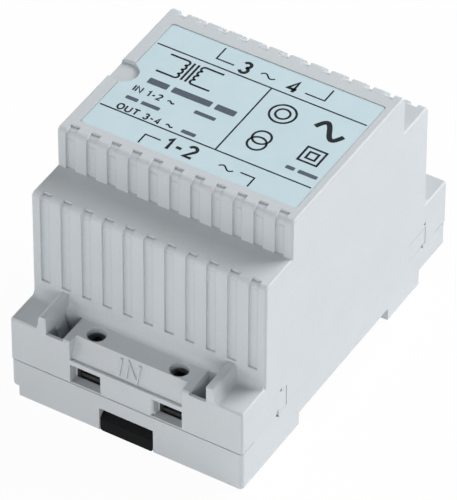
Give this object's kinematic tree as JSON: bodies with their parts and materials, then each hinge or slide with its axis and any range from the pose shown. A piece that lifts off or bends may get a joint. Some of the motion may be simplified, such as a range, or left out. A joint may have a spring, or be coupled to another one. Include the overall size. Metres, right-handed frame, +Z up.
{
  "type": "low voltage transformer",
  "caption": "Rail-mounted low voltage transformer: stepped grey enclosure with ribbed ends, screw clamp terminals, pale label and a black sliding rail latch.",
  "frame": {"origin": "middle of the underside of the feet, at the centre of the enclosure's outline", "axes": "+X across the modules to the right, +Y from the primary to the secondary terminals, +Z up from the rail to the label"},
  "size_m": [0.054, 0.081, 0.0572],
  "materials": {
    "housing_grey": "fine-textured moulded grey plastic",
    "label_blue": "pale blue printed film",
    "latch_black": "black moulded plastic",
    "core_steel": "varnished transformer laminations",
    "bobbin_white": "natural nylon",
    "winding_tape": "yellow insulating tape over enamelled wire",
    "cutout_metal": "plain metal case",
    "terminal_brass": "nickel-free brass",
    "clamp_steel": "zinc-plated steel",
    "screw_steel": "zinc-plated steel",
    "lead_red": "red wire insulation",
    "lead_white": "white wire insulation"
  },
  "bodies": {
    "housing": {"base_housing": "housing_grey", "top_housing": "housing_grey", "label_plate": "label_blue", "core_e_stack": "core_steel", "core_i_stack": "core_steel", "coil_bobbin": "bobbin_white", "primary_winding": "winding_tape", "secondary_winding": "winding_tape", "thermal_cutout": "cutout_metal", "terminal_cage_primary_left": "terminal_brass", "lead_primary_left": "lead_red", "terminal_cage_primary_right": "terminal_brass", "lead_primary_right": "lead_red", "terminal_cage_secondary_left": "terminal_brass", "lead_secondary_left": "lead_white", "terminal_cage_secondary_right": "terminal_brass", "lead_secondary_right": "lead_white"},
    "latch": {"rail_latch": "latch_black"},
    "clamp_primary_left": {"clamp_plate_primary_left": "clamp_steel"},
    "screw_primary_left": {"terminal_screw_primary_left": "screw_steel"},
    "clamp_primary_right": {"clamp_plate_primary_right": "clamp_steel"},
    "screw_primary_right": {"terminal_screw_primary_right": "screw_steel"},
    "clamp_secondary_left": {"clamp_plate_secondary_left": "clamp_steel"},
    "screw_secondary_left": {"terminal_screw_secondary_left": "screw_steel"},
    "clamp_secondary_right": {"clamp_plate_secondary_right": "clamp_steel"},
    "screw_secondary_right": {"terminal_screw_secondary_right": "screw_steel"}
  },
  "joints": [
    {"name": "latch_slide", "type": "slide", "parent": "housing", "child": "latch", "axis": [0, -1, 0], "range_m": [0, 0.004], "stiffness_N_per_m": 1500, "springref_m": -0.002},
    {"name": "clamp_slide_primary_left", "type": "slide", "parent": "housing", "child": "clamp_primary_left", "axis": [0, 0, 1], "range_m": [0, 0.0034]},
    {"name": "screw_turn_primary_left", "type": "hinge", "parent": "clamp_primary_left", "child": "screw_primary_left", "pos_m": [-0.00965, -0.03565, 0.0112], "axis": [0, 0, 1], "range_deg": [0, 2450]},
    {"name": "clamp_slide_primary_right", "type": "slide", "parent": "housing", "child": "clamp_primary_right", "axis": [0, 0, 1], "range_m": [0, 0.0034]},
    {"name": "screw_turn_primary_right", "type": "hinge", "parent": "clamp_primary_right", "child": "screw_primary_right", "pos_m": [0.00965, -0.03565, 0.0112], "axis": [0, 0, 1], "range_deg": [0, 2450]},
    {"name": "clamp_slide_secondary_left", "type": "slide", "parent": "housing", "child": "clamp_secondary_left", "axis": [0, 0, 1], "range_m": [0, 0.0034]},
    {"name": "screw_turn_secondary_left", "type": "hinge", "parent": "clamp_secondary_left", "child": "screw_secondary_left", "pos_m": [-0.00965, 0.03565, 0.0112], "axis": [0, 0, 1], "range_deg": [0, 2450]},
    {"name": "clamp_slide_secondary_right", "type": "slide", "parent": "housing", "child": "clamp_secondary_right", "axis": [0, 0, 1], "range_m": [0, 0.0034]},
    {"name": "screw_turn_secondary_right", "type": "hinge", "parent": "clamp_secondary_right", "child": "screw_secondary_right", "pos_m": [0.00965, 0.03565, 0.0112], "axis": [0, 0, 1], "range_deg": [0, 2450]}
  ],
  "couplings": [
    {"joint": "screw_turn_primary_left", "follows": "clamp_slide_primary_left", "rad_per_m": 12566},
    {"joint": "screw_turn_primary_right", "follows": "clamp_slide_primary_right", "rad_per_m": 12566},
    {"joint": "screw_turn_secondary_left", "follows": "clamp_slide_secondary_left", "rad_per_m": 12566},
    {"joint": "screw_turn_secondary_right", "follows": "clamp_slide_secondary_right", "rad_per_m": 12566}
  ]
}
